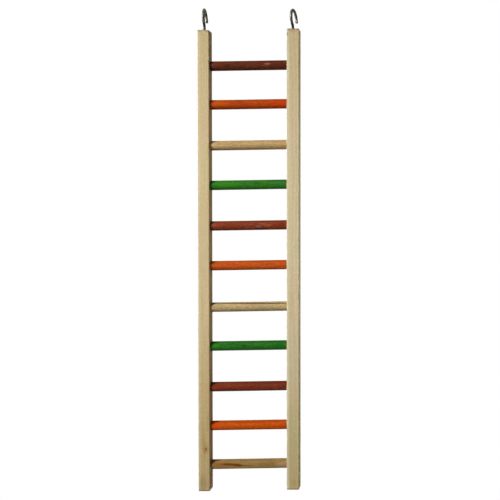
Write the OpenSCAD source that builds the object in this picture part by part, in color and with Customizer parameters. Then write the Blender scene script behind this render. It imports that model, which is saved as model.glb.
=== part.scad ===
// Bird ladder: dowel rungs glued into blind sockets in two square rails, with a screw hook in each rail's top.
// The origin lies on the ladder's centre line, level with the inside of the hooks' crowns, where the cage bar bears.
// X runs from the left rail to the right one, Y from the front to the back, and Z up along the rails.

/* [Rails] */
// Width of the left rail, seen from the front
left_w = 14.5; // [13:0.1:22]
// Width of the right rail, seen from the front
right_w = 15.5; // [13:0.1:22]
// Depth of both rails, from front to back
rail_d = 15.2; // [13:0.1:22]
// Distance between the outer faces of the two rails
ladder_w = 127.7; // [90:0.1:220]
// Rounding of a rail's long edges
edge_r = 0.8; // [0.3:0.1:1.4]
// Chamfer round the ends of a rail
end_chamfer = 0.5; // [0.2:0.1:1.2]
// How much higher the right rail was glued than the left one
rack = 2.2; // [0:0.1:4]

/* [Rungs] */
// Number of rungs
rung_count = 11; // [3:1:14]
// Diameter of a rung
rung_d = 12.1; // [8:0.1:12.6]
// Distance from one rung's axis to the next
rung_pitch = 51; // [30:0.1:70]
// Distance from the top of a rail down to the first rung's axis
top_gap = 43.1; // [33:0.1:80]
// Distance from the last rung's axis down to the foot of a rail
foot_gap = 30.9; // [14:0.1:80]
// Depth of a rung's blind socket in the rail
socket_depth = 9.5; // [6:0.1:10.5]
// Room for glue round a rung in its socket
glue_gap = 0.1; // [0.05:0.01:0.2]
// Room left between a rung's end and the floor of its socket
end_gap = 0.3; // [0.1:0.1:0.8]
// Chamfer on a rung's ends
rung_chamfer = 0.8; // [0.3:0.1:1.5]

/* [Hooks] */
// Diameter of the hooks' wire
wire_d = 3.5; // [2.4:0.1:3.8]
// Radius of a hook's eye, to the middle of the wire
eye_r = 9.8; // [8.6:0.1:10.6]
// Height of the eye's centre above the middle of the two rails' tops
eye_height = 16.4; // [16:0.1:20]
// How far the eye's centre is set back from the shank
eye_setback = 2.2; // [0:0.1:4]
// Radius of the bend between the shank and the eye
neck_r = 4.8; // [3.5:0.1:5.4]
// Length of the straight leg that the wire ends in, behind the eye
tip_len = 3.9; // [1:0.1:6]
// Chamfer on the tip
tip_chamfer = 0.5; // [0.2:0.1:0.8]
// Turn of the left hook's opening, from straight back towards the right
left_turn = -6; // [-30:1:30]
// Turn of the right hook's opening, from straight back towards the right
right_turn = 8; // [-30:1:30]
// How far the back half of the left eye was bent sideways, towards the right
left_skew = 5; // [-12:1:12]
// How far the back half of the right eye was bent sideways, towards the right
right_skew = 6; // [-12:1:12]
// How far the left hook stands off the middle of its rail, towards the right
left_shift = -0.4; // [-2:0.1:2]
// How far the right hook stands off the middle of its rail, towards the right
right_shift = -1.0; // [-2:0.1:2]

/* [Hook threads] */
// Depth that a hook is screwed in, below the middle of the two rails' tops
screw_depth = 17; // [15.5:0.5:24]
// Length of the thread, with its point
thread_len = 13; // [9:0.5:13.5]
// Distance from one turn of the thread to the next
thread_pitch = 1.6; // [1.2:0.1:2]
// Depth of the thread
thread_depth = 0.4; // [0.2:0.05:0.6]
// Length of the gimlet point
point_len = 3; // [2:0.5:5]
// Radius left at the very end of the point
point_r = 0.15; // [0.1:0.05:0.3]
// Room round the screw in its hole
screw_gap = 0.05; // [0.02:0.01:0.15]

/* [Hidden] */
$fn = 64;

// How far above the even pitch each hole was drilled by hand, from the top rung down
rung_drift = [-1.2, 0.9, 0.2, 0.9, 0.3, 0.6, -1.3, -0.1, -1.2, 0, 1.1];
// The four stains, which repeat from the top rung down
stains = ["#6e2a1a", "#bb4d17", "#c59a66", "#2b6f25"];
wood = "#cdb98f";
steel = "#8d8a84";

rail_len = top_gap + (rung_count - 1) * rung_pitch + foot_gap;
inner_w = ladder_w - left_w - right_w;
// Middle of the gap between the rails, which lies off the centre line where one rail is wider
gap_x = (left_w - right_w) / 2;
// The rungs slope by this angle, because the right rail sits higher
slope = atan(rack / (rail_x(1) - rail_x(-1)));
socket_r = rung_d / 2 + glue_gap;
// A rung's own length, measured along its sloping axis
rung_len = (inner_w + 2 * (socket_depth - end_gap)) / cos(slope);

wire_r = wire_d / 2;
core_r = wire_r - thread_depth;
hole_r = wire_r + screw_gap;
// Bending drew the wire thinner by this much, at the neck and in the eye's back half
bend_thin = 0.02;
bent_r = wire_r - bend_thin;
// The thinner wire reaches this angle into its neighbours
bend_lap = 1;
// Angle that the wire leans forward where the neck runs into the eye
neck_angle = acos((eye_setback + neck_r) / (eye_r + neck_r));
// Height above the middle of the two rails' tops at which the shank starts to bend
neck_height = eye_height - (eye_r + neck_r) * sin(neck_angle);
// Height of the bar's seat, inside the crown, above the middle of the two rails' tops
seat_height = eye_height + eye_r - wire_r;

// How far a cut runs past the surface that it starts from
cut_over = 1;

thread_sides = 12;
thread_step = thread_pitch / thread_sides;
thread_rows = floor(thread_len / thread_step);
// The thread's core reaches this far up into the smooth shank
core_lap = 0.3;
// Share of the pitch that the thread's ridge takes up
ridge_share = 0.5;

// side is -1 for the left rail and 1 for the right one
function rail_w(side) = side < 0 ? left_w : right_w;
function rail_x(side) = side * (ladder_w - rail_w(side)) / 2;
function pad(i) = i < 10 ? str("0", i) : str(i);
function rung_name(i) = str("rung_", pad(i));
function drift(i) = i <= len(rung_drift) ? rung_drift[i - 1] : 0;
// Height of a rung's axis above the middle of the two feet, on the ladder's centre line
function rung_z(i) = rail_len - top_gap - (i - 1) * rung_pitch + drift(i);
function fraction(x) = x - floor(x);
function clamp(x, low, high) = max(low, min(high, x));

// Moves the ladder from feet at zero height to the origin on the hooks' seat
module on_hang_line() {
    translate([0, -eye_setback, -rail_len - seat_height]) children();
}

module at_rail(side) {
    translate([rail_x(side), 0, side * rack / 2]) children();
}

// Lays a shape that stands along Z on a rung's axis, from the middle of the gap between the rails
module on_rung_axis(i) {
    translate([gap_x, 0, rung_z(i) + gap_x * tan(slope)]) rotate([0, 90 - slope, 0]) children();
}

module rounded_rect(w, d, r) {
    square([w - 2 * r, d], center = true);
    square([w, d - 2 * r], center = true);
    for (x = [-1, 1], y = [-1, 1])
        translate([x * (w / 2 - r), y * (d / 2 - r)]) circle(r);
}

// The bar's outline across w, with a chamfer at its foot and at its top
module chamfered_side(w) {
    c = end_chamfer;
    polygon([
        [-w / 2 + c, 0], [w / 2 - c, 0], [w / 2, c], [w / 2, rail_len - c],
        [w / 2 - c, rail_len], [-w / 2 + c, rail_len], [-w / 2, rail_len - c], [-w / 2, c]
    ]);
}

module rail_bar(w) {
    intersection() {
        linear_extrude(rail_len) rounded_rect(w, rail_d, edge_r);
        rotate([90, 0, 0]) linear_extrude(rail_d, center = true) chamfered_side(w);
        rotate([90, 0, 90]) linear_extrude(w, center = true) chamfered_side(rail_d);
    }
}

// The blind sockets run along the rungs' own axes and stop short of the rail's outer face
module sockets(side) {
    reach = (inner_w / 2 + socket_depth) / cos(slope);
    for (i = [1:rung_count])
        on_rung_axis(i) mirror([0, 0, side < 0 ? 1 : 0]) cylinder(h = reach, r = socket_r);
}

// The hooks are screwed in until their crowns are level, so neither they nor their holes follow the rail's height
module at_hook(side, shift) {
    translate([rail_x(side) + shift, 0, rail_len]) children();
}

module hook_hole() {
    straight = screw_depth - point_len;
    foot = -screw_depth - end_gap;
    top = rack / 2 + cut_over;
    rotate_extrude() polygon([
        [0, foot], [point_r + screw_gap, foot], [hole_r, -straight], [hole_r, top], [0, top]
    ]);
}

module rail(side, hook_shift) {
    color(wood) on_hang_line() difference() {
        at_rail(side) rail_bar(rail_w(side));
        sockets(side);
        at_hook(side, hook_shift) hook_hole();
    }
}

module rung(i) {
    c = rung_chamfer;
    r = rung_d / 2;
    h = rung_len / 2;
    color(stains[(i - 1) % len(stains)]) on_hang_line() on_rung_axis(i)
        rotate_extrude() polygon([[0, -h], [r - c, -h], [r, -h + c], [r, h - c], [r - c, h], [0, h]]);
}

// An arc of wire about the origin, in the X-Y plane
module bend(radius, from, to, thickness_r) {
    rotate([0, 0, from]) rotate_extrude(angle = to - from) translate([radius, 0]) circle(thickness_r);
}

// Stands a shape drawn in X-Y upright, with its X towards the back
module upright() {
    rotate([90, 0, 90]) children();
}

module neck() {
    translate([-neck_r, neck_height])
        bend(neck_r, -bend_lap, neck_angle + bend_lap, bent_r);
}

// The leg runs down from the eye's widest point and ends in a chamfered tip
module tip_leg() {
    translate([eye_r, 0, 0]) rotate([90, 0, 0]) {
        cylinder(h = tip_len, r = bent_r);
        translate([0, 0, tip_len])
            cylinder(h = tip_chamfer, r1 = bent_r, r2 = bent_r - tip_chamfer);
    }
}

// The front half carries on from the neck, and the back half is skewed about the wire at the crown
module eye(skew) {
    translate([eye_setback, eye_height + eye_r]) {
        translate([0, -eye_r]) bend(eye_r, 90, 180 + neck_angle, wire_r);
        rotate([-skew, 0, 0]) translate([0, -eye_r]) {
            bend(eye_r, 0, 90 + bend_lap, bent_r);
            tip_leg();
        }
    }
}

// How full the thread is at height z above its point: it grows along the point and runs out below the shank
function fullness(z) = min(clamp(z / point_len, 0, 1), clamp((thread_len - z) / thread_pitch, 0, 1));
function core_at(z) = z < point_len ? point_r + (core_r - point_r) * z / point_len : core_r;
function ridge(phase) = max(0, 1 - abs(phase - 0.5) * 2 / ridge_share);
function thread_r(side, z) =
    core_at(z) + thread_depth * fullness(z) * ridge(fraction(z / thread_pitch - side / thread_sides));

// A right-handed wood-screw thread that stands on its point
module thread() {
    heights = concat([for (k = [0:thread_rows]) k * thread_step], [thread_len + core_lap]);
    last = len(heights) - 1;
    points = [
        for (z = heights, s = [0:thread_sides - 1])
            thread_r(s, z) * [cos(360 * s / thread_sides), sin(360 * s / thread_sides), 0] + [0, 0, z]
    ];
    function at(k, s) = k * thread_sides + s % thread_sides;
    walls = [
        for (k = [0:last - 1], s = [0:thread_sides - 1], half = [0, 1])
            half == 0
                ? [at(k, s), at(k + 1, s + 1), at(k, s + 1)]
                : [at(k, s), at(k + 1, s), at(k + 1, s + 1)]
    ];
    foot = [for (s = [0:thread_sides - 1]) at(0, s)];
    top = [for (s = [thread_sides - 1:-1:0]) at(last, s)];
    polyhedron(points, concat(walls, [foot, top]));
}

module hook(side, shift, turn, skew) {
    smooth = screw_depth - thread_len;
    color(steel) on_hang_line() at_hook(side, shift) rotate([0, 0, -turn]) {
        translate([0, 0, -smooth]) cylinder(h = smooth + neck_height, r = wire_r);
        upright() {
            neck();
            eye(skew);
        }
        translate([0, 0, -screw_depth]) thread();
    }
}

rail(-1, left_shift);  // rail_left
rail(1, right_shift);  // rail_right
hook(-1, left_shift, left_turn, left_skew);  // hook_left
hook(1, right_shift, right_turn, right_skew);  // hook_right
for (i = [1:rung_count])
    rung(i);
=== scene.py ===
# %% [markdown]
# # A bird ladder
# The real thing is a cage ladder: two planed softwood rails, eleven dowels dipped in thin stain,
# and a plated screw hook in the top of each rail. The solids already have their true shapes, so
# this lesson is about wood, stain and plated wire, and about the light that shows them. We start
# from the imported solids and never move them: each finish is fitted to its piece's place.

# %% Load the ladder's solids
import math

import bmesh
import bpy
from mathutils import Matrix, Vector


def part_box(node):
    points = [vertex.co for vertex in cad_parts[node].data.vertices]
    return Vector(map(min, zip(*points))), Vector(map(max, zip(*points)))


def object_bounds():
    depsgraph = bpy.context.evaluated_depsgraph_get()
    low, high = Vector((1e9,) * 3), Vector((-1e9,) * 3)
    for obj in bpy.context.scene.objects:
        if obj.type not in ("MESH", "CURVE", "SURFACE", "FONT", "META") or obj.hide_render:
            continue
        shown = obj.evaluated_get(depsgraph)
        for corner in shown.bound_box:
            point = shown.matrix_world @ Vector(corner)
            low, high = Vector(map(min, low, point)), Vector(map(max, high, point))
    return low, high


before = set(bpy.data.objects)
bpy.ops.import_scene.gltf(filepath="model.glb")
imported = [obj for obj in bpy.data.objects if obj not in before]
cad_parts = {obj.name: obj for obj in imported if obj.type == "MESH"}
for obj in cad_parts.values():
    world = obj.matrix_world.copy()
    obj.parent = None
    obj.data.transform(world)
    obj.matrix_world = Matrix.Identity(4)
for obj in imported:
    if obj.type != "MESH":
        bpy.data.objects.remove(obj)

cad_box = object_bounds()
RUNGS = [f"rung_{number:02d}" for number in range(1, 12)]
print("solids:", len(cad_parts), "box:", cad_box)

# %% [markdown]
# ## Measures that the finishes need
# A wood pattern has to know where its board is and which way the grain runs. Each solid's box
# gives that, so nothing here repeats a size of the ladder by hand.

# %% Find the middle and the size of each piece
def middle_of(name):
    low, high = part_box(name)
    return (Vector(low) + Vector(high)) / 2


def size_of(name):
    low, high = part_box(name)
    return Vector(high) - Vector(low)


def rounded(values, places=4):
    return tuple(round(v, places) for v in values)


for name in ("rail_left", "rail_right", "rung_01", "hook_left"):
    print(name, "middle", rounded(middle_of(name)), "size", rounded(size_of(name)))

# %% [markdown]
# ## A small set of helpers for node trees
# Shader nodes can be wired by hand, but long chains of sums are easier to read as calls. Each
# helper makes one node, feeds it sockets or plain numbers, and hands back its output socket.

# %% Helpers for sums, steps and noise
FADE_OUT = (1.0, 0.0)


def put(tree, value, socket):
    if isinstance(value, bpy.types.NodeSocket):
        tree.links.new(value, socket)
    elif value is not None:
        socket.default_value = value


def feed(tree, node, values):
    for socket, value in zip(node.inputs, values):
        put(tree, value, socket)


def calc(tree, operation, *values, clamp=False):
    node = tree.nodes.new("ShaderNodeMath")
    node.operation, node.use_clamp = operation, clamp
    feed(tree, node, values)
    return node.outputs[0]


def vector_calc(tree, operation, *values):
    node = tree.nodes.new("ShaderNodeVectorMath")
    node.operation = operation
    feed(tree, node, values)
    return node.outputs["Value" if operation == "LENGTH" else "Vector"]


def soft_step(tree, value, start, end, low=0.0, high=1.0):
    """A smooth rise from low to high while the value goes from start to end."""
    node = tree.nodes.new("ShaderNodeMapRange")
    node.interpolation_type = "SMOOTHSTEP"
    feed(tree, node, (value, start, end, low, high))
    return node.outputs["Result"]


def speckle(tree, vector, waves, detail=2.0, roughness=0.5):
    """Noise that varies as often in a metre as the three waves say, one for each direction."""
    node = tree.nodes.new("ShaderNodeTexNoise")
    put(tree, vector_calc(tree, "MULTIPLY", vector, waves), node.inputs["Vector"])
    node.inputs["Scale"].default_value = 1.0
    node.inputs["Detail"].default_value = detail
    node.inputs["Roughness"].default_value = roughness
    return node.outputs["Fac"]


def moved_speckle(tree, vector, offset, waves, **settings):
    """The same noise read from another place, so that two patterns don't fall together."""
    return speckle(tree, vector_calc(tree, "ADD", vector, offset), waves, **settings)


print("number helpers: put, feed, calc, vector_calc, soft_step, speckle, moved_speckle")

# %% Helpers for colours and points
def tint(tree, factor, first, second, mode="MIX"):
    node = tree.nodes.new("ShaderNodeMix")
    node.data_type, node.blend_type = "RGBA", mode
    for socket, value in zip([node.inputs[0], node.inputs[6], node.inputs[7]],
                             (factor, first, second)):
        put(tree, value, socket)
    return node.outputs[2]


def glaze(tree, base, shade, mask, strength):
    """Lay a shade over the base where the mask is bright, as strongly as the strength says."""
    return tint(tree, calc(tree, "MULTIPLY", mask, strength), base, shade)


def filtered(tree, base, cast):
    """The base as if seen through coloured glass."""
    return tint(tree, 1.0, base, cast, "MULTIPLY")


def parts_of(tree, vector):
    node = tree.nodes.new("ShaderNodeSeparateXYZ")
    put(tree, vector, node.inputs[0])
    return node.outputs


def point(tree, x, y, z):
    node = tree.nodes.new("ShaderNodeCombineXYZ")
    feed(tree, node, (x, y, z))
    return node.outputs[0]


def colour(red, green, blue):
    """A colour as the eye reads it, 0 to 255, turned into linear numbers for a shader."""
    seen = [v / 255 for v in (red, green, blue)]
    return (*[v / 12.92 if v <= 0.04045 else ((v + 0.055) / 1.055) ** 2.4 for v in seen], 1.0)


print("pale wood as linear numbers:", rounded(colour(203, 186, 147), 3))

# %% Helpers that build a node group and place it
def start_group(name, inputs, outputs):
    group = bpy.data.node_groups.new(name, "ShaderNodeTree")
    for title, kind, default in inputs:
        socket = group.interface.new_socket(title, in_out="INPUT", socket_type=f"NodeSocket{kind}")
        socket.default_value = default
    for title, kind in outputs:
        group.interface.new_socket(title, in_out="OUTPUT", socket_type=f"NodeSocket{kind}")
    given = group.nodes.new("NodeGroupInput").outputs
    return group, given, group.nodes.new("NodeGroupOutput").inputs


def use_group(tree, group, **values):
    """Place a group and feed its inputs by name, with an underscore for each space."""
    node = tree.nodes.new("ShaderNodeGroup")
    node.node_tree = group
    for title, value in values.items():
        put(tree, value, node.inputs[title.replace("_", " ")])
    return node.outputs


def picked(outputs, *titles):
    """Some of a node's outputs, ready to feed the inputs of the same names on another."""
    return {title: outputs[title] for title in titles}


def report_group(group):
    print("group:", group.name, "with", len(group.nodes), "nodes")
    return group


print("group helpers: start_group, use_group, picked, report_group")

# %% [markdown]
# ## Wood figure
# A board shows cuts through growth rings, which are long cylinders round the tree's pith. We
# measure how far a point is from the pith, bend that distance with slow noise so that the lines
# wander, and keep the fraction inside each ring: pale early wood, then a darker late edge. A
# knot pushes the rings apart, so the group takes a bulge as well. Fine stretched noise adds
# fibres and pores. All of it is solid, so end grain shows arcs by itself.

# %% Build the wood figure group
WANDER_WAVES = (45, 45, 6)
FIBRE_WAVES = (1500, 1500, 28)
DRIFT_WAVES, DRIFT_OFFSET = (210, 210, 11), (0.7, 0.3, 0.1)
PORE_WAVES = (2600, 2600, 160)
RINGS_LEAN_ALONG = 0.035
LATE_RISE, LATE_FALL = (0.35, 0.88), (0.9, 1.0)
PORE_EDGE = (0.66, 0.74)
FIBRE_HEIGHT, LATE_HEIGHT, PORE_DEPTH = 0.6, 0.35, 0.3


def ring_fraction(group, given):
    """How far through its growth ring a point lies, from 0 to 1."""
    slow = calc(group, "SUBTRACT", speckle(group, given["Point"], WANDER_WAVES), 0.5)
    wander = calc(group, "MULTIPLY", slow, given["Wander"])
    from_pith = vector_calc(group, "SUBTRACT", given["Point"], given["Pith"])
    flat = vector_calc(group, "MULTIPLY", from_pith, (1, 1, RINGS_LEAN_ALONG))
    bent = calc(group, "ADD", wander, given["Bulge"])
    reach = calc(group, "ADD", vector_calc(group, "LENGTH", flat), bent)
    return calc(group, "FRACT", calc(group, "DIVIDE", reach, given["Ring Width"]))


def build_wood_figure():
    group, given, out = start_group(
        "wood figure",
        [
            ("Point", "Vector", (0, 0, 0)), ("Pith", "Vector", (0.03, 0.04, 0)),
            ("Ring Width", "Float", 0.002), ("Wander", "Float", 0.003), ("Bulge", "Float", 0.0),
        ],
        [(title, "Float") for title in ("Late Wood", "Fibre", "Drift", "Pores", "Height")],
    )
    place = given["Point"]
    ring = ring_fraction(group, given)
    rise = soft_step(group, ring, *LATE_RISE)
    late = calc(group, "MULTIPLY", rise, soft_step(group, ring, *LATE_FALL, *FADE_OUT))
    fibre = speckle(group, place, FIBRE_WAVES, detail=3, roughness=0.6)
    drift = moved_speckle(group, place, DRIFT_OFFSET, DRIFT_WAVES, detail=3)
    pores = soft_step(group, speckle(group, place, PORE_WAVES, detail=1), *PORE_EDGE)
    height = calc(group, "ADD", calc(group, "MULTIPLY", fibre, FIBRE_HEIGHT),
                  calc(group, "MULTIPLY", late, LATE_HEIGHT))
    height = calc(group, "SUBTRACT", height, calc(group, "MULTIPLY", pores, PORE_DEPTH))
    results = {"Late Wood": late, "Fibre": fibre, "Drift": drift, "Pores": pores,
               "Height": height}
    for title, socket in results.items():
        put(group, socket, out[title])
    return group


WOOD_FIGURE = report_group(build_wood_figure())

# %% [markdown]
# ## Marks in one place
# A knot, a dent or a rubbed spot belongs to one place on one piece. A round falloff about a
# point, stretched along the grain and broken up with noise, makes each of them.

# %% Build the group for a local mark
RAG_WAVES = (900, 900, 900)
MARK_CORE, MARK_RIM = 0.35, 1.0


def build_local_mark():
    group, given, out = start_group(
        "local mark",
        [
            ("Point", "Vector", (0, 0, 0)), ("Centre", "Vector", (0, 0, 0)),
            ("Size", "Vector", (0.002, 0.002, 0.002)), ("Raggedness", "Float", 0.3),
        ],
        [("Mask", "Float"), ("Distance", "Float")],
    )
    offset = vector_calc(group, "SUBTRACT", given["Point"], given["Centre"])
    offset = vector_calc(group, "DIVIDE", offset, given["Size"])
    noise = calc(group, "SUBTRACT", speckle(group, given["Point"], RAG_WAVES), 0.5)
    ragged = calc(group, "MULTIPLY", noise, given["Raggedness"])
    distance = calc(group, "ADD", vector_calc(group, "LENGTH", offset), ragged)
    put(group, soft_step(group, distance, MARK_CORE, MARK_RIM, *FADE_OUT), out["Mask"])
    put(group, distance, out["Distance"])
    return group


LOCAL_MARK = report_group(build_local_mark())

# %% [markdown]
# ## Edges of a planed bar
# Handling wears the long arrises and a saw leaves ragged ends, so both need a mask. Distances
# from the bar's middle give them: an arris is where the point is far out both ways, and a sawn
# end is where it is far out along the bar. Noise breaks the end mask up into torn spots.

# %% Build the group for a bar's edges
TORN_WAVES = (420, 420, 160)
TORN_SPOTS = (0.5, 0.66)
SAWN_DEPTH = (0.0001, 0.0007)
TORN_DEPTH = (0.0002, 0.0034)


def build_bar_edges():
    group, given, out = start_group(
        "bar edges",
        [
            ("Point", "Vector", (0, 0, 0)), ("Half Size", "Vector", (0.0075, 0.0075, 0.3)),
            ("Arris Width", "Float", 0.002),
        ],
        [("Arris", "Float"), ("Sawn End", "Float"), ("Torn", "Float")],
    )
    far_out = vector_calc(group, "ABSOLUTE", given["Point"])
    gap = parts_of(group, vector_calc(group, "SUBTRACT", given["Half Size"], far_out))
    both_ways = calc(group, "DIVIDE", calc(group, "ADD", gap[0], gap[1]), given["Arris Width"])
    put(group, soft_step(group, both_ways, MARK_CORE, MARK_RIM, *FADE_OUT), out["Arris"])
    put(group, soft_step(group, gap[2], *SAWN_DEPTH, *FADE_OUT), out["Sawn End"])
    depth = soft_step(group, gap[2], *TORN_DEPTH, *FADE_OUT)
    noise = speckle(group, given["Point"], TORN_WAVES, detail=3, roughness=0.7)
    put(group, calc(group, "MULTIPLY", depth, soft_step(group, noise, *TORN_SPOTS)), out["Torn"])
    return group


BAR_EDGES = report_group(build_bar_edges())

# %% [markdown]
# ## How a material starts
# Every finish begins with the same shader and the same Object coordinates, which stay on the
# piece wherever it goes. A Mapping node moves them so that zero is the middle of the piece.
# Wood takes a low specular level, because it is dry, and dyed wood a lower one.

# %% Helpers that start a material, centre it and dress a piece
WOOD_GLOSS, DYE_GLOSS, PLAIN_GLOSS = 0.18, 0.06, 0.5
FIBRE_SPAN = (0.3, 0.7)
MARK_RAGGEDNESS = 0.5


def start_material(name, gloss=PLAIN_GLOSS):
    material = bpy.data.materials.new(name)
    material.use_nodes = True
    tree = material.node_tree
    shader = tree.nodes["Principled BSDF"]
    shader.inputs["Specular IOR Level"].default_value = gloss
    place = tree.nodes.new("ShaderNodeTexCoord").outputs["Object"]
    return material, tree, shader, place


def centred(tree, place, name):
    node = tree.nodes.new("ShaderNodeMapping")
    put(tree, place, node.inputs["Vector"])
    node.inputs["Location"].default_value = -middle_of(name)
    return node.outputs["Vector"]


def wear_material(name, material):
    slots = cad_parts[name].data.materials
    slots.clear()
    slots.append(material)


def add_bump(tree, shader, height, strength, distance):
    bump = tree.nodes.new("ShaderNodeBump")
    bump.inputs["Strength"].default_value = strength
    bump.inputs["Distance"].default_value = distance
    put(tree, height, bump.inputs["Height"])
    put(tree, bump.outputs["Normal"], shader.inputs["Normal"])


def mark(tree, local, centre, size, raggedness):
    """The mask and distance of one local mark, with its place and size in millimetres."""
    centre, size = (tuple(v / 1000 for v in values) for values in (centre, size))
    return use_group(tree, LOCAL_MARK, Point=local, Centre=centre, Size=size,
                     Raggedness=raggedness)


def add_marks(tree, base, local, marks):
    """Each mark is a centre, a size, a shade and a strength, laid on in the order given."""
    for centre, size, shade, strength in marks:
        mask = mark(tree, local, centre, size, MARK_RAGGEDNESS)["Mask"]
        base = glaze(tree, base, colour(*shade), mask, strength)
    return base


print("a piece's material starts centred on", rounded(middle_of("rail_left")))

# %% [markdown]
# ## Planed softwood
# The rails are pale softwood, planed and not varnished: cream with long, faint pink and
# yellow-green streaks. Towards the foot they run into warmer heartwood, towards the top into
# yellower sapwood. Late wood, fibres, pores and a fine mottle lie over that as thin glazes. A pale
# strip along the left arris is partly rubbed wood and partly painted highlight. Both rails share
# the recipe, so it is a group, and each rail says where its heartwood begins.

# %% Build the planed softwood group
CREAM, PINK, OLIVE = colour(208, 194, 155), colour(211, 188, 153), colour(198, 188, 142)
LATE_BROWN, PALE_RUB_AND_HIGHLIGHT = colour(178, 154, 108), colour(222, 209, 176)
END_BROWN = colour(128, 108, 74)
HEART_TAN, SAP_YELLOW = colour(192, 164, 110), colour(203, 186, 137)
STREAK_WAVES, STREAK_OFFSET = (230, 230, 14), (0.2, 0.9, 0.4)
MOTTLE_WAVES = (620, 620, 330)
SAP_START, SAP_END, SAP_STRENGTH = 0.12, 0.28, 0.55
BORDER_WANDER = 0.2
PINK_BETWEEN, OLIVE_BETWEEN = (0.42, 0.62), (0.48, 0.66)
FIBRE_BETWEEN = (0.45, 0.75)
MOTTLE_DARK, MOTTLE_PALE = (0.48, 0.72), (0.5, 0.3)
RUBBED_LIT_FROM, RUBBED_LIT_TO = 0.0044, 0.0022


def add_broad_tones(group, given, streak):
    """Heartwood below and sapwood above, with a border that wanders along the streaks."""
    base = tint(group, soft_step(group, given["Drift"], *PINK_BETWEEN), CREAM, PINK)
    base = tint(group, soft_step(group, streak, *OLIVE_BETWEEN), base, OLIVE)
    x, _, z = parts_of(group, given["Point"])
    wander = calc(group, "MULTIPLY", calc(group, "SUBTRACT", streak, 0.5), BORDER_WANDER)
    height = calc(group, "ADD", z, wander)
    heart = soft_step(group, height, given["Heart From"], given["Heart To"])
    base = glaze(group, base, HEART_TAN, heart, given["Heartwood"])
    sap = soft_step(group, height, SAP_START, SAP_END)
    base = glaze(group, base, SAP_YELLOW, sap, SAP_STRENGTH)
    # painted highlight: the pale strip along the left arris is partly rubbed wood and partly light
    # from the key lamp
    left_edge = [calc(group, "SUBTRACT", v, given["Half Width"]) for v in (RUBBED_LIT_FROM, RUBBED_LIT_TO)]
    return glaze(group, base, PALE_RUB_AND_HIGHLIGHT, soft_step(group, x, *left_edge), given["Rubbed Edge"])


def build_planed_softwood():
    group, given, out = start_group(
        "planed softwood",
        [
            ("Point", "Vector", (0, 0, 0)), ("Half Width", "Float", 0.0075),
            ("Late Wood", "Float", 0.0), ("Fibre", "Float", 0.5), ("Drift", "Float", 0.5),
            ("Pores", "Float", 0.0), ("Heart From", "Float", -0.1), ("Heart To", "Float", -0.25),
            ("Heartwood", "Float", 0.6), ("Rubbed Edge", "Float", 0.5),
        ],
        [("Colour", "Color")],
    )
    place = given["Point"]
    streak = moved_speckle(group, place, STREAK_OFFSET, STREAK_WAVES, detail=3)
    base = add_broad_tones(group, given, streak)
    fibre = soft_step(group, given["Fibre"], *FIBRE_BETWEEN)
    mottle = speckle(group, place, MOTTLE_WAVES, detail=3, roughness=0.75)
    for mask, strength, shade in (
        (given["Late Wood"], 0.25, LATE_BROWN), (fibre, 0.22, LATE_BROWN),
        (given["Pores"], 0.25, END_BROWN),
        (soft_step(group, mottle, *MOTTLE_DARK), 0.38, LATE_BROWN),
        (soft_step(group, mottle, *MOTTLE_PALE), 0.32, PALE_RUB_AND_HIGHLIGHT),
    ):
        base = glaze(group, base, shade, mask, strength)
    put(group, base, out["Colour"])
    return group


PLANED_SOFTWOOD = report_group(build_planed_softwood())

# %% [markdown]
# ## A bar that has been sawn, eased and handled, with painted light and shade on its sides
# The eased arrises have rubbed a little paler, and the sawn ends are darker and torn, because
# end grain soaks up light and dirt. The side that looks right carries painted light and shade:
# painted shade, warm and dark, on the left rail, and painted light, pale, on the right one. So
# each rail has its own painted shading for that side, and says how far from the edge it begins:
# on the left rail that changes near the top, as if the bar were twisted. The side that looks
# left carries painted shade, a grey cast, or the key lamp would bleach it to white.

# %% Build the worn bar group
ARRIS_STRENGTH, END_STRENGTH = 0.35, 0.8
# painted shade for the side that looks left
LEFT_SIDE_PAINTED_SHADE = (0.62, 0.61, 0.61, 1)
LEFT_SIDE_SHADE_FROM = 0.0008
SIDE_FULL = 0.0002
SIDE_DEEPENS = 0.006
TWIST_TOP, TWIST_LOW = 0.225, 0.165


def painted_side_shading_mask(group, given):
    """Where painted light and shade go: 1 on the side that looks right, and less near the front,
    where the arris turns.
    """
    x, y, z = parts_of(group, given["Point"])
    half_x, half_y, _ = parts_of(group, given["Half Size"])
    inset = soft_step(group, z, TWIST_TOP, TWIST_LOW, given["Side From At Top"],
                      given["Side From"])
    edge = soft_step(group, x, calc(group, "SUBTRACT", half_x, inset),
                     calc(group, "SUBTRACT", half_x, SIDE_FULL))
    front = calc(group, "MULTIPLY", half_y, -1.0)
    back = calc(group, "ADD", front, SIDE_DEEPENS)
    depth = soft_step(group, y, front, back, given["Side Front"], 1.0)
    return calc(group, "MULTIPLY", edge, depth)


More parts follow.
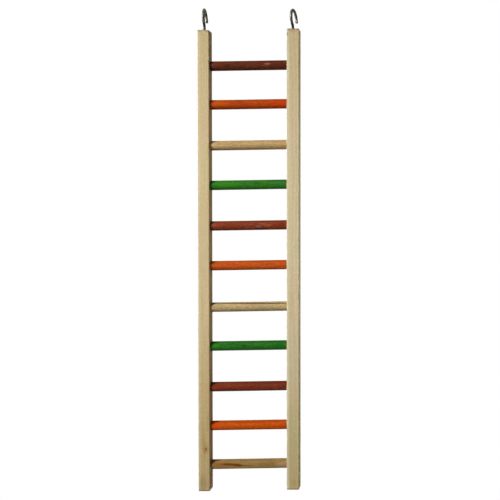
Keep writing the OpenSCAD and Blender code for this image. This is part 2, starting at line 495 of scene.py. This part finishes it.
def build_worn_and_shaded_bar():
    group, given, out = start_group(
        "worn bar with painted shade",
        [
            ("Colour", "Color", (0.5, 0.5, 0.5, 1)), ("Point", "Vector", (0, 0, 0)),
            ("Half Size", "Vector", (0.0075, 0.0075, 0.3)), ("Arris", "Float", 0.0),
            ("Torn", "Float", 0.0), ("Sawn End", "Float", 0.0), ("Cast", "Color", (1, 1, 1, 1)),
            ("Side Cast", "Color", (1, 1, 1, 1)), ("Side From", "Float", 0.001),
            ("Side From At Top", "Float", 0.001), ("Side Front", "Float", 0.5),
        ],
        [("Colour", "Color")],
    )
    base = glaze(group, given["Colour"], PALE_RUB_AND_HIGHLIGHT, given["Arris"], ARRIS_STRENGTH)
    base = glaze(group, base, END_BROWN, given["Torn"], END_STRENGTH)
    base = glaze(group, base, END_BROWN, given["Sawn End"], END_STRENGTH)
    base = filtered(group, base, given["Cast"])
    # painted shading on the side that looks right: painted shade on the left rail, painted light
    # on the right
    side = painted_side_shading_mask(group, given)
    base = tint(group, side, base, filtered(group, base, given["Side Cast"]))
    x, half_x = parts_of(group, given["Point"])[0], parts_of(group, given["Half Size"])[0]
    # painted shade on the side that looks left, so that the key lamp doesn't bleach it
    left = soft_step(group, x, calc(group, "SUBTRACT", LEFT_SIDE_SHADE_FROM, half_x),
                     calc(group, "MULTIPLY", half_x, -1.0))
    put(group, tint(group, left, base, filtered(group, base, LEFT_SIDE_PAINTED_SHADE)), out["Colour"])
    return group


WORN_AND_SHADED_BAR = report_group(build_worn_and_shaded_bar())

# %% [markdown]
# ## What each rail has of its own
# The left rail is a little browner and has a pin knot near its foot, with orange grain round it.
# The marks are stains, scuffs and saw-cut dirt, with painted shade too: a painted shadow round
# each hook's foot and a painted dark line along each rail's lower edge. Each is a place from the
# rail's middle, a size, both in millimetres, then its shade and how strongly it shows. The other
# traits carry the names of the group inputs that they feed, and set each rail's painted light and
# shade on its sides.

# %% Write down the rails' traits
FACE = size_of("rail_left").y / 2 * 1000
RAILS = {
    "rail_left": {
        "figure": {"Pith": (0.035, 0.021, 0.1), "Ring Width": 0.0021},
        "wood": {"Heart From": -0.05, "Heart To": -0.2, "Heartwood": 0.6, "Rubbed Edge": 0.45},
        "wear_and_shading": {
            # painted shade, warm and dark, on the side that looks right
            "Cast": (0.925, 0.905, 0.87, 1), "Side Cast": (0.68, 0.56, 0.35, 1),
            "Side From": 0.0024, "Side From At Top": 0.0004, "Side Front": 0.42,
        },
        "knots": [((2.3, -FACE, -238.5), (1.9, 5.0, 2.3))],
        "marks": [
            ((0, -FACE, 30), (16.0, 6.0, 90.0), (190, 162, 120), 0.2),
            ((-1.2, -FACE, -222), (3.0, 4.0, 22.0), (180, 148, 84), 0.45),
            ((0.6, -FACE, -238), (2.4, 4.0, 16.0), (172, 132, 68), 0.42),
            ((-1.5, -FACE, -282), (6.0, 5.0, 16.0), (160, 140, 84), 0.45),
            ((4.6, -FACE, -205), (1.5, 3.0, 18.0), (176, 150, 98), 0.5),
            ((-3.0, -FACE, -281), (3.5, 5.0, 3.5), (164, 154, 100), 0.5),
            ((3.0, -FACE, -283), (4.0, 5.0, 6.0), (186, 154, 112), 0.4),
            ((-5.2, -FACE, 290.6), (4.0, 5.0, 2.4), (150, 146, 124), 0.6),
            ((5.6, -FACE, 290.6), (3.8, 6.0, 2.6), (134, 128, 88), 0.6),
            # painted shadow round the hook's foot
            ((0, -FACE, 291.6), (3.0, 20.0, 1.4), (112, 92, 62), 0.4),
            # painted shade along the lower edge of the foot
            ((0, -FACE, -291.6), (14.0, 6.0, 1.5), (104, 92, 64), 0.9),
        ],
    },
    "rail_right": {
        "figure": {"Pith": (-0.024, 0.038, -0.2), "Ring Width": 0.0024},
        "wood": {"Heart From": -0.12, "Heart To": -0.26, "Heartwood": 0.8, "Rubbed Edge": 1.0},
        "wear_and_shading": {
            # painted light, pale, on the side that looks right
            "Cast": (0.955, 0.96, 1.0, 1), "Side Cast": (1.38, 1.4, 1.36, 1),
            "Side From": 0.0014, "Side From At Top": 0.0014, "Side Front": 1.0,
        },
        "knots": [],
        "marks": [
            ((0, -FACE, -125), (16.0, 6.0, 60.0), (184, 182, 146), 0.25),
            ((0, -FACE, -235), (16.0, 6.0, 75.0), (190, 182, 134), 0.4),
            ((-7.4, -FACE, 285.0), (2.2, 3.0, 3.0), (86, 76, 54), 0.85),
            ((0.6, -FACE, 289.6), (4.6, 6.0, 3.4), (184, 146, 94), 0.55),
            ((4.4, -FACE, 289.4), (3.0, 5.0, 3.0), (204, 168, 138), 0.5),
            ((-4.4, -FACE, 290.4), (3.0, 4.0, 2.2), (134, 126, 86), 0.65),
            # painted shadow round the hook's foot
            ((0.6, -FACE, 291.6), (3.4, 20.0, 1.4), (84, 60, 30), 0.7),
            ((5.8, -FACE, 290.8), (2.2, 4.0, 2.0), (142, 134, 118), 0.7),
            # painted shade along the lower edge of the foot
            ((0, -FACE, -291.6), (14.0, 6.0, 1.5), (104, 92, 64), 0.9),
            ((1.5, -FACE, -283), (5.0, 6.0, 6.5), (180, 164, 94), 0.7),
        ],
    },
}
for name, traits in RAILS.items():
    print(name, "knots:", len(traits["knots"]), "marks:", len(traits["marks"]))

# %% [markdown]
# ## Painting the rails
# Now the groups are put together: figure first, then the wood's colour, the knot, the marks, and
# the wear and the painted side shading on top. The knot's core is dark at its rim, and its bulge
# bends the rings round it.
# A bump from the fibres keeps the faces dry.

# %% Paint the two rails
KNOT_RIM, KNOT_HEART = colour(112, 74, 36), colour(162, 122, 64)
KNOT_REACH, KNOT_BULGE = 3.2, 0.004
RAIL_WANDER, RAIL_ARRIS = 0.0045, 0.0021
KNOT_RAGGED, HALO_RAGGED = 0.25, 0.1
RIM_BETWEEN, RIM_STRENGTH, HALO_STRENGTH = (0.1, 0.6), 1.6, 0.35
TORN_SINKS = -1.2
RAIL_ROUGHNESS = (0.55, 0.72)
RAIL_BUMP, RAIL_BUMP_HEIGHT = 0.35, 0.0002


def open_knot(tree, local, centre, size):
    """The knot's own mask, and the wider mask of the grain that bends round it."""
    core = mark(tree, local, centre, size, KNOT_RAGGED)
    wide = tuple(v * KNOT_REACH for v in size)
    return core, mark(tree, local, centre, wide, HALO_RAGGED)["Mask"]


def add_knot(tree, base, core, spread):
    base = glaze(tree, base, KNOT_HEART, spread, HALO_STRENGTH)
    rim = calc(tree, "MULTIPLY", core["Mask"], soft_step(tree, core["Distance"], *RIM_BETWEEN))
    return tint(tree, calc(tree, "MULTIPLY", rim, RIM_STRENGTH, clamp=True), base, KNOT_RIM)


def colour_rail(tree, local, half, traits, wood, edges, knots):
    figure = picked(wood, "Late Wood", "Fibre", "Drift", "Pores")
    base = use_group(tree, PLANED_SOFTWOOD, Point=local, Half_Width=half.x, **figure,
                     **traits["wood"])["Colour"]
    for core, spread in knots:
        base = add_knot(tree, base, core, spread)
    base = add_marks(tree, base, local, traits["marks"])
    return use_group(tree, WORN_AND_SHADED_BAR, Colour=base, Point=local, Half_Size=tuple(half),
                     **picked(edges, "Arris", "Torn", "Sawn End"), **traits["wear_and_shading"])["Colour"]


def paint_rail(name, traits):
    title = name.replace("_", " ") + " bare wood"
    material, tree, shader, place = start_material(title, WOOD_GLOSS)
    local, half = centred(tree, place, name), size_of(name) / 2
    knots = [open_knot(tree, local, *knot) for knot in traits["knots"]]
    bulge = calc(tree, "MULTIPLY", knots[0][1], KNOT_BULGE) if knots else 0.0
    wood = use_group(tree, WOOD_FIGURE, Point=local, Wander=RAIL_WANDER, Bulge=bulge,
                     **traits["figure"])
    edges = use_group(tree, BAR_EDGES, Point=local, Half_Size=tuple(half), Arris_Width=RAIL_ARRIS)
    base = colour_rail(tree, local, half, traits, wood, edges, knots)
    put(tree, base, shader.inputs["Base Color"])
    rough = soft_step(tree, wood["Fibre"], *FIBRE_SPAN, *RAIL_ROUGHNESS)
    put(tree, rough, shader.inputs["Roughness"])
    torn = calc(tree, "MAXIMUM", edges["Torn"], edges["Sawn End"])
    height = calc(tree, "ADD", wood["Height"], calc(tree, "MULTIPLY", torn, TORN_SINKS))
    add_bump(tree, shader, height, RAIL_BUMP, RAIL_BUMP_HEIGHT)
    wear_material(name, material)
    return material


for name, traits in RAILS.items():
    print("painted", paint_rail(name, traits).name)

# %% [markdown]
# ## Stained dowels
# Each rung is a dowel. Three in four were dipped in thin dye, and the fourth was left bare. Dye
# doesn't hide wood: it sinks deeper into soft grain, so the colour comes out streaky, drifts
# between two tones along the rung, gathers in flecks, and rubs off where the dowel was handled.
# One group holds that uptake as masks, and another turns the masks into colour. A bare dowel
# goes through the same two groups, with tones of wood in place of dye.

# %% Build the stain uptake group
UPTAKE_STREAKS = (850, 850, 20)
UPTAKE_RUBBED, RUBBED_OFFSET = (300, 300, 26), (0.3, 0.1, 0.6)
UPTAKE_TONE, TONE_OFFSET = (90, 90, 42), (0.8, 0.5, 0.2)
UPTAKE_MOTTLE, MOTTLE_OFFSET = (800, 800, 250), (0.1, 0.6, 0.9)
UPTAKE_BETWEEN = {
    "Streak": (0.5, 0.72), "Rubbed": (0.54, 0.74), "Tone": (0.38, 0.62), "Mottle": (0.46, 0.64),
    "Fleck": (0.47, 0.34),
}


def build_stain_uptake():
    outputs = [(title, "Float") for title in UPTAKE_BETWEEN]
    group, given, out = start_group("stain uptake", [("Point", "Vector", (0, 0, 0))], outputs)
    place = given["Point"]
    streak = speckle(group, place, UPTAKE_STREAKS, detail=4, roughness=0.65)
    rubbed = moved_speckle(group, place, RUBBED_OFFSET, UPTAKE_RUBBED, detail=3, roughness=0.6)
    tone = moved_speckle(group, place, TONE_OFFSET, UPTAKE_TONE, detail=2)
    mottle = moved_speckle(group, place, MOTTLE_OFFSET, UPTAKE_MOTTLE, detail=3, roughness=0.75)
    noises = (streak, rubbed, tone, mottle, mottle)
    for noise, (title, between) in zip(noises, UPTAKE_BETWEEN.items()):
        put(group, soft_step(group, noise, *between), out[title])
    return group


STAIN_UPTAKE = report_group(build_stain_uptake())

# %% Build the dyed dowel group
LINE_FROM, LINE_TO = 0.0039, 0.0052
DYE_LAYERS = (
    ("Rubbed", "Light", 0.65), ("Streak", "Deep", 0.5), ("Mottle", "Deep", 0.7),
    ("Fleck", "Light", 0.6), ("Late Wood", "Deep", 0.25), ("Pores", "Deep", 0.5),
)


def build_dyed_dowel():
    masks = ("Tone", *(mask for mask, _, _ in DYE_LAYERS), "Height", "Top Line")
    shades = ("First", "Second", "Deep", "Light")
    group, given, out = start_group(
        "dyed dowel",
        [(title, "Float", 0.0) for title in masks]
        + [(title, "Color", (0.5, 0.5, 0.5, 1)) for title in shades],
        [("Colour", "Color")],
    )
    base = tint(group, given["Tone"], given["First"], given["Second"])
    for mask, shade, strength in DYE_LAYERS:
        base = glaze(group, base, given[shade], given[mask], strength)
    line = soft_step(group, given["Height"], LINE_FROM, LINE_TO, 0.0, given["Top Line"])
    put(group, tint(group, line, base, given["Deep"]), out["Colour"])
    return group


DYED_DOWEL = report_group(build_dyed_dowel())

# %% [markdown]
# ## What each rung has of its own
# The dips go round in fours: red-brown, orange, bare and green. No two dips came out alike, so
# each rung has its own two tones, and its own marks: pale scuffs, browned or reddened ends, brown
# streaks in the bare wood. In the photograph a thin darker line runs along the top of the rungs,
# and most of all on the dark dyes, so each dip says how strong its line is.

# %% Write down the rungs' tones and marks
RUNG_TONES = [
    ((100, 44, 21), (90, 46, 28)), ((180, 70, 10), (172, 66, 14)),
    ((186, 156, 104), (182, 150, 106)), ((47, 116, 24), (44, 108, 34)),
    ((131, 56, 29), (120, 54, 34)), ((190, 82, 18), (184, 76, 20)),
    ((184, 160, 113), (179, 154, 111)), ((39, 108, 27), (38, 103, 30)),
    ((124, 52, 25), (118, 50, 29)), ((202, 84, 8), (196, 80, 12)),
    ((158, 128, 76), (152, 119, 68)),
]
DIPS = ("red-brown", "orange", "bare", "green")
TOP_LINES = {"red-brown": 0.9, "orange": 0.55, "bare": 0.15, "green": 0.6}
RUNG_MARKS = {
    "rung_01": [
        ((24.5, -6, 1.4), (5.5, 4, 1.5), (146, 102, 84), 0.8),
        ((21, -6, -0.6), (6, 4, 1.2), (126, 70, 48), 0.6),
        ((-38, -6, 0.3), (7, 4, 2.8), (118, 38, 14), 0.7),
        ((33, -6, 1.6), (7, 4, 1.8), (104, 36, 26), 0.6),
        ((42, -6, 0.6), (4, 5, 4.6), (104, 30, 22), 0.6),
        ((5, -6, 1.8), (9, 4, 1.4), (112, 44, 30), 0.45),
        ((-44, -6, -1), (5, 6, 5), (92, 58, 52), 0.7),
        ((-26, -6, -1), (5, 4, 2), (62, 26, 12), 0.6),
    ],
    "rung_02": [
        ((37, -6, 0.4), (14, 6, 5), (190, 56, 4), 0.55),
        ((31, -6, 1), (5, 5, 2.6), (194, 46, 4), 0.4),
        ((43, -6, 0), (4.4, 5, 3.4), (216, 50, 10), 0.7),
        ((-36, -6, 0), (14, 5, 4), (200, 84, 4), 0.5),
        ((-12, -6, 3), (8, 4, 1.6), (140, 50, 10), 0.5),
    ],
    "rung_04": [
        ((46.5, -6, 0), (3.5, 6, 6), (78, 98, 42), 0.6),
        ((-27, -6, 0), (24, 6, 5), (46, 134, 14), 0.45),
        ((40, -6, 0), (10, 6, 5), (40, 112, 50), 0.6),
        ((12, -6, 2), (7, 4, 2), (30, 86, 22), 0.5),
    ],
    "rung_05": [
        ((13.0, -6, -1.2), (5, 4, 2.4), (150, 92, 76), 0.55),
        ((18.5, -6, 2.2), (6, 4, 1.6), (146, 92, 74), 0.55),
        ((25, -6, 0.2), (7, 4, 2.0), (158, 88, 46), 0.6),
        ((15, -4.4, -4.6), (12, 4, 1.6), (34, 12, 8), 0.85),
        ((43, -6, 1.6), (4, 5, 3), (110, 24, 22), 0.6),
        ((-40, -6, 0), (6, 5, 4), (148, 52, 22), 0.5),
        ((-44, -6, 1), (4, 5, 4), (132, 74, 58), 0.6),
        ((38, -6, 0), (10, 6, 5), (118, 44, 24), 0.5),
    ],
    "rung_06": [
        ((41, -6, 1), (5, 5, 4), (198, 66, 18), 0.6),
        ((47, -6, 0), (3, 6, 6), (152, 86, 32), 0.65),
        ((28, -6, 2.5), (9, 4, 1.5), (146, 62, 12), 0.5),
    ],
    "rung_07": [
        ((0, -3.9, 4.7), (120, 2.4, 1.1), (84, 64, 38), 0.95),
    ],
    "rung_08": [
        ((-42, -6, 0), (7, 5, 4), (38, 128, 12), 0.5),
        ((38, -6, 0), (9, 6, 5), (20, 98, 24), 0.75),
        ((47.4, -6, 0), (3, 6, 6), (76, 88, 28), 0.6),
        ((-6, -6, 1.0), (4, 5, 2.0), (14, 62, 14), 0.6),
        ((12, -6, -2.0), (9, 4, 1.6), (22, 78, 22), 0.5),
        ((-22, -6, 2.4), (8, 4, 1.6), (24, 84, 20), 0.5),
    ],
    "rung_09": [
        ((-39, -6, 0), (8, 5, 3), (134, 38, 22), 0.55),
        ((-17, -4, -5), (6, 4, 1.6), (22, 10, 4), 0.8),
        ((-2, -6, 1), (16, 5, 1.6), (96, 36, 16), 0.4),
        ((20, -5, 3.6), (24, 4, 1.6), (98, 46, 44), 0.6),
        ((0, -4.2, -4.6), (60, 3, 1.3), (44, 16, 9), 0.5),
        ((42, -6, 1), (5, 5, 4), (98, 42, 44), 0.6),
    ],
    "rung_10": [
        ((-42, -6, 0), (6, 5, 4), (212, 70, 4), 0.6),
        ((41, -6, 0), (4, 5, 4), (198, 60, 14), 0.6),
        ((47, -6, 0), (3, 6, 6), (148, 78, 26), 0.65),
        ((-10, -6, 4.4), (30, 4, 1.4), (150, 58, 6), 0.5),
    ],
    "rung_11": [
        ((-34, -6, 0), (20, 6, 5), (150, 96, 40), 0.6),
        ((-24, -6, 0.9), (19, 4, 1.7), (102, 54, 12), 0.95),
        ((-13, -6, -0.6), (9, 4, 2.1), (104, 54, 10), 0.95),
        ((-3, -6, -0.4), (10, 4, 1.6), (128, 84, 36), 0.6),
        ((-38, -6, 1.4), (8, 4, 2.0), (150, 92, 36), 0.5),
        ((26, -6, 1.5), (22, 4, 1.6), (132, 96, 48), 0.5),
        ((42, -6, 0), (13, 6, 6), (172, 148, 106), 0.6),
        ((8, -5.2, -3.0), (70, 4, 2.0), (176, 152, 96), 0.5),
    ],
}
print("tones:", len(RUNG_TONES), "marks:", sum(len(marks) for marks in RUNG_MARKS.values()))

# %% [markdown]
# ## Painting the rungs
# The grain runs along the rung, so we turn the point before asking for any pattern, and move it
# by the rung's number, so that every dowel is cut from another part of the tree.

# %% Paint the eleven rungs
DOWEL_STEP = (0.11, 0.07, 0.5)
DOWEL_PITH = (0.02, -0.03)
DOWEL_RING, DOWEL_WANDER = 0.0016, 0.003
DEEPER, LIGHTER, LIFT = 0.6, 1.25, 0.015
DOWEL_ROUGHNESS = (0.45, 0.62)
DOWEL_BUMP, DOWEL_BUMP_HEIGHT = 0.3, 0.00015


def shades_of(tones):
    """Two tones of dye, and how the first looks where it is soaked and where it is rubbed."""
    first, second = (colour(*tone) for tone in tones)
    deep = (*[v * DEEPER for v in first[:3]], 1)
    light = (*[min(1, v * LIGHTER + LIFT) for v in first[:3]], 1)
    return {"First": first, "Second": second, "Deep": deep, "Light": light}


def dip_of(number):
    return DIPS[(number - 1) % len(DIPS)]


def colour_rung(tree, height, wood, stain, number):
    return use_group(
        tree, DYED_DOWEL, Height=height, Top_Line=TOP_LINES[dip_of(number)],
        **shades_of(RUNG_TONES[number - 1]), **picked(stain, *UPTAKE_BETWEEN),
        **picked(wood, "Late Wood", "Pores"))["Colour"]


def paint_rung(name, number):
    material, tree, shader, place = start_material(name.replace("_", " ") + " dowel", DYE_GLOSS)
    local = centred(tree, place, name)
    x, y, z = parts_of(tree, local)
    step = tuple(v * number for v in DOWEL_STEP)
    along = vector_calc(tree, "ADD", point(tree, y, z, x), step)
    pith = (step[0] + DOWEL_PITH[0], step[1] + DOWEL_PITH[1], 0)
    wood = use_group(tree, WOOD_FIGURE, Point=along, Pith=pith, Ring_Width=DOWEL_RING,
                     Wander=DOWEL_WANDER)
    stain = use_group(tree, STAIN_UPTAKE, Point=along)
    base = colour_rung(tree, z, wood, stain, number)
    base = add_marks(tree, base, local, RUNG_MARKS.get(name, []))
    put(tree, base, shader.inputs["Base Color"])
    rough = soft_step(tree, wood["Fibre"], *FIBRE_SPAN, *DOWEL_ROUGHNESS)
    put(tree, rough, shader.inputs["Roughness"])
    add_bump(tree, shader, wood["Height"], DOWEL_BUMP, DOWEL_BUMP_HEIGHT)
    wear_material(name, material)
    return material


for number, name in enumerate(RUNGS, start=1):
    print("painted", paint_rung(name, number).name, dip_of(number))

# %% [markdown]
# ## Plated hooks
# The hooks are steel wire with a dull plating that has gone dark. Metal has no colour of its own
# to speak of: it shows the room, so the light further down matters more than this material. A
# cloudy roughness, fine drawing marks along the wire and a brown film near the wood keep it from
# looking like a mirror.

# %% Paint the two hooks
PLATING, PLATING_DULL = (0.2, 0.185, 0.16, 1), (0.06, 0.052, 0.042, 1)
BROWN_FILM = (0.1, 0.065, 0.035, 1)
FILM_FROM, FILM_TO = 0.001, 0.008
CLOUD_WAVES, DRAWN_WAVES = (420, 420, 420), (2600, 2600, 900)
DULL_BETWEEN = (0.4, 0.7)
FILM_CLOUD, FILM_STRENGTH = (0.3, 0.6), (0.4, 1.0)
ROUGH_CLOUD, HOOK_ROUGHNESS = (0.35, 0.7), (0.48, 0.62)
HOOK_BUMP, HOOK_BUMP_HEIGHT = 0.15, 0.00005


def brown_film_mask(tree, place, cloud):
    rail_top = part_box("rail_right")[1][2]
    above = calc(tree, "SUBTRACT", parts_of(tree, place)[2], rail_top)
    low_down = soft_step(tree, above, FILM_FROM, FILM_TO, *FADE_OUT)
    return calc(tree, "MULTIPLY", low_down, soft_step(tree, cloud, *FILM_CLOUD, *FILM_STRENGTH))


def paint_hooks():
    material, tree, shader, place = start_material("hook plated wire")
    cloud = speckle(tree, place, CLOUD_WAVES, detail=3)
    base = tint(tree, soft_step(tree, cloud, *DULL_BETWEEN), PLATING, PLATING_DULL)
    film = brown_film_mask(tree, place, cloud)
    put(tree, tint(tree, film, base, BROWN_FILM), shader.inputs["Base Color"])
    rough = soft_step(tree, cloud, *ROUGH_CLOUD, *HOOK_ROUGHNESS)
    put(tree, rough, shader.inputs["Roughness"])
    shader.inputs["Metallic"].default_value = 1.0
    add_bump(tree, shader, speckle(tree, place, DRAWN_WAVES), HOOK_BUMP, HOOK_BUMP_HEIGHT)
    for name in ("hook_left", "hook_right"):
        wear_material(name, material)
    return material


print("painted", paint_hooks().name)

# %% [markdown]
# ## Floor
# The ladder hangs clear of everything, and the floor lies well below it and keeps its soft
# shadow. It is pale card. To the camera it also glows a little, more and more towards its rim,
# so that its edge melts into the white room and no line is left where it ends.

# %% Make the floor
FLOOR_DROP, FLOOR_HALF = 0.34, 0.8
CARD_DARKER, CARD_LIGHTER = (0.84, 0.84, 0.83, 1), (0.88, 0.88, 0.87, 1)
CARD_WAVES, CARD_ROUGHNESS = (300, 300, 300), 0.9
GLOW_MIDDLE, GLOW_RIM = 0.7, 1.0
RIM_FROM, RIM_TO = 0.3, 0.9 * FLOOR_HALF
WHITE = (1, 1, 1, 1)


def most_of(tree, *values):
    """The largest of several values, so that any one ray kind can switch a mask on."""
    most = values[0]
    for value in values[1:]:
        most = calc(tree, "MAXIMUM", most, value)
    return most


def paint_floor():
    material, tree, shader, place = start_material("floor pale card")
    grain = speckle(tree, place, CARD_WAVES)
    put(tree, tint(tree, grain, CARD_DARKER, CARD_LIGHTER), shader.inputs["Base Color"])
    shader.inputs["Roughness"].default_value = CARD_ROUGHNESS
    glow = tree.nodes.new("ShaderNodeEmission")
    both = tree.nodes.new("ShaderNodeAddShader")
    path = tree.nodes.new("ShaderNodeLightPath").outputs
    seen = most_of(tree, path["Is Camera Ray"], path["Is Glossy Ray"], path["Is Transmission Ray"])
    flat = vector_calc(tree, "MULTIPLY", place, (1, 1, 0))
    level = soft_step(tree, vector_calc(tree, "LENGTH", flat), RIM_FROM, RIM_TO,
                      GLOW_MIDDLE, GLOW_RIM)
    put(tree, calc(tree, "MULTIPLY", seen, level), glow.inputs["Strength"])
    glow.inputs["Color"].default_value = WHITE
    feed(tree, both, (shader.outputs[0], glow.outputs[0]))
    put(tree, both.outputs[0], tree.nodes["Material Output"].inputs["Surface"])
    return material


def make_floor():
    mesh = bpy.data.meshes.new("floor")
    floor = bpy.data.objects.new("floor", mesh)
    bpy.context.collection.objects.link(floor)
    shape = bmesh.new()
    drop = Matrix.Translation((0, 0, cad_box[0][2] - FLOOR_DROP))
    bmesh.ops.create_grid(shape, x_segments=4, y_segments=4, size=FLOOR_HALF, matrix=drop)
    shape.to_mesh(mesh)
    shape.free()
    mesh.materials.append(paint_floor())
    return floor


print("floor at", round(make_floor().data.vertices[0].co.z, 3))

# %% [markdown]
# ## Room
# The room is white to the camera. The metal sees the same white backdrop behind the ladder, a
# dark room in front of it and a lighter ceiling, which is what gives wire its bright and dark
# bands. To the wood the room is only a modest warm grey, brighter from the right and from level,
# so that the lamps model the rails.

# %% Make the room
ROOM_TINT = (1.0, 0.9, 0.6, 1.0)
ROOM_RIGHT, LEFT_SHARE = 0.26, 0.3
RIGHT_FROM, RIGHT_TO = -0.4, 0.8
LEVEL_FROM, LEVEL_TO, STEEP_SHARE = 0.2, 0.9, 0.35
ROOM_DARK, ROOM_CEILING = 0.01, 0.6
CEILING_FROM, CEILING_TO = 0.1, 0.8
BACKDROP_FROM, BACKDROP_TO = 0.8, 0.95


def room_for_wood(tree, way):
    """How bright the room is in a direction, for the light that falls on the wood."""
    right_wall = soft_step(tree, way[0], RIGHT_FROM, RIGHT_TO, ROOM_RIGHT * LEFT_SHARE, ROOM_RIGHT)
    steep = calc(tree, "ABSOLUTE", way[2])
    level = soft_step(tree, steep, LEVEL_FROM, LEVEL_TO, 1.0, STEEP_SHARE)
    return calc(tree, "MULTIPLY", right_wall, level)


def room_for_metal(tree, way):
    """How bright the room is in a direction, for what the metal mirrors."""
    ceiling = soft_step(tree, way[2], CEILING_FROM, CEILING_TO, ROOM_DARK, ROOM_CEILING)
    return soft_step(tree, way[1], BACKDROP_FROM, BACKDROP_TO, ceiling, 1.0)


def make_room():
    world = bpy.data.worlds.new("studio room")
    bpy.context.scene.world = world
    world.use_nodes = True
    tree = world.node_tree
    tree.nodes.clear()
    path = tree.nodes.new("ShaderNodeLightPath").outputs
    way = parts_of(tree, tree.nodes.new("ShaderNodeTexCoord").outputs["Generated"])
    seen = most_of(tree, path["Is Camera Ray"], path["Is Transmission Ray"])
    shown = most_of(tree, seen, path["Is Glossy Ray"])
    lit, plain = [tree.nodes.new("ShaderNodeBackground") for _ in range(2)]
    lit.inputs["Color"].default_value = ROOM_TINT
    put(tree, room_for_wood(tree, way), lit.inputs["Strength"])
    plain.inputs["Color"].default_value = WHITE
    put(tree, most_of(tree, seen, room_for_metal(tree, way)), plain.inputs["Strength"])
    mix = tree.nodes.new("ShaderNodeMixShader")
    feed(tree, mix, (shown, lit.outputs[0], plain.outputs[0]))
    put(tree, mix.outputs[0], tree.nodes.new("ShaderNodeOutputWorld").inputs["Surface"])
    return world


print("room:", make_room().name)

# %% [markdown]
# ## Lamps
# The photograph's light comes from far on the left and a little above: it brightens the arrises
# on that side, leaves the faces that look right in shade and drops a short shadow of the left
# rail on each rung. A softbox with a narrow beam does all of that, and fades towards the foot. A
# faint one on the right stands for the light that a wall throws back. The third lights the
# ladder's back, which the photograph doesn't show.

# %% Hang the three lamps
LAMPS = [
    {"name": "front_left_softbox", "place": (-1.864, -0.96, 0.34), "target": (0.02, 0, -0.27),
     "width": 0.5, "height": 0.8, "beam": 37, "watts": 5.15},
    {"name": "right_wall_softbox", "place": (1.5, -0.45, -0.1), "target": (0.06, 0, -0.27),
     "width": 0.3, "height": 0.3, "beam": 26, "watts": 0.11},
    {"name": "back_left_softbox", "place": (-1.3, 1.5, -0.1), "target": (0, 0, -0.3),
     "width": 0.7, "height": 0.7, "beam": 120, "watts": 10.0},
]


def hang_lamp(name, place, target, width, height, beam, watts):
    data = bpy.data.lights.new(name, "AREA")
    data.shape, data.size, data.size_y, data.energy = "RECTANGLE", width, height, watts
    data.spread = math.radians(beam)
    lamp = bpy.data.objects.new(name, data)
    bpy.context.collection.objects.link(lamp)
    lamp.location = place
    aim = Vector(target) - Vector(place)
    lamp.rotation_euler = aim.to_track_quat("-Z", "Y").to_euler()
    return lamp


for settings in LAMPS:
    print("lamp", hang_lamp(**settings).name, settings["watts"], "W")

# %% [markdown]
# ## Camera
# The photograph was cut from a wider one, with the lens to the right of the ladder and square
# to it: the rails stay parallel, yet each shows its right side. Turning the camera would make
# the rails converge, so the picture is shifted instead, and the camera only nods a degree.

# %% Place the camera
CAMERA_DISTANCE, CAMERA_RIGHT, CAMERA_RISE = 0.960, 0.2071, 0.0632
FOCAL_PIXELS, AXIS_PIXEL = 760.2, (412.3, 227.3)
NOD, ROLL = math.radians(1.172), math.radians(0.177)
FRAME_PIXELS, SENSOR = 500, 36.0


def aim_camera(place):
    """Look along +Y, nodding a little, with a slight roll, from the given place."""
    ahead = Vector((0, math.cos(NOD), -math.sin(NOD)))
    level = Vector((1, 0, 0))
    upright = level.cross(ahead)
    right = level * math.cos(ROLL) + upright * math.sin(ROLL)
    up = upright * math.cos(ROLL) - level * math.sin(ROLL)
    turn = Matrix((right, up, -ahead)).transposed()
    return Matrix.Translation(place) @ turn.to_4x4()


def place_camera():
    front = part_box("rail_left")[0][1]
    middle_z = (middle_of("rail_left").z + middle_of("rail_right").z) / 2
    data = bpy.data.cameras.new("camera")
    camera = bpy.data.objects.new("camera", data)
    bpy.context.collection.objects.link(camera)
    data.sensor_width = SENSOR
    data.lens = FOCAL_PIXELS * SENSOR / FRAME_PIXELS
    data.shift_x = (FRAME_PIXELS / 2 - AXIS_PIXEL[0]) / FRAME_PIXELS
    data.shift_y = (AXIS_PIXEL[1] - FRAME_PIXELS / 2) / FRAME_PIXELS
    place = (CAMERA_RIGHT, front - CAMERA_DISTANCE, middle_z + CAMERA_RISE)
    camera.matrix_world = aim_camera(place)
    bpy.context.scene.camera = camera
    return camera


print("camera at", rounded(place_camera().location, 3))

# %% Finish
bpy.context.scene.view_settings.view_transform = "Standard"
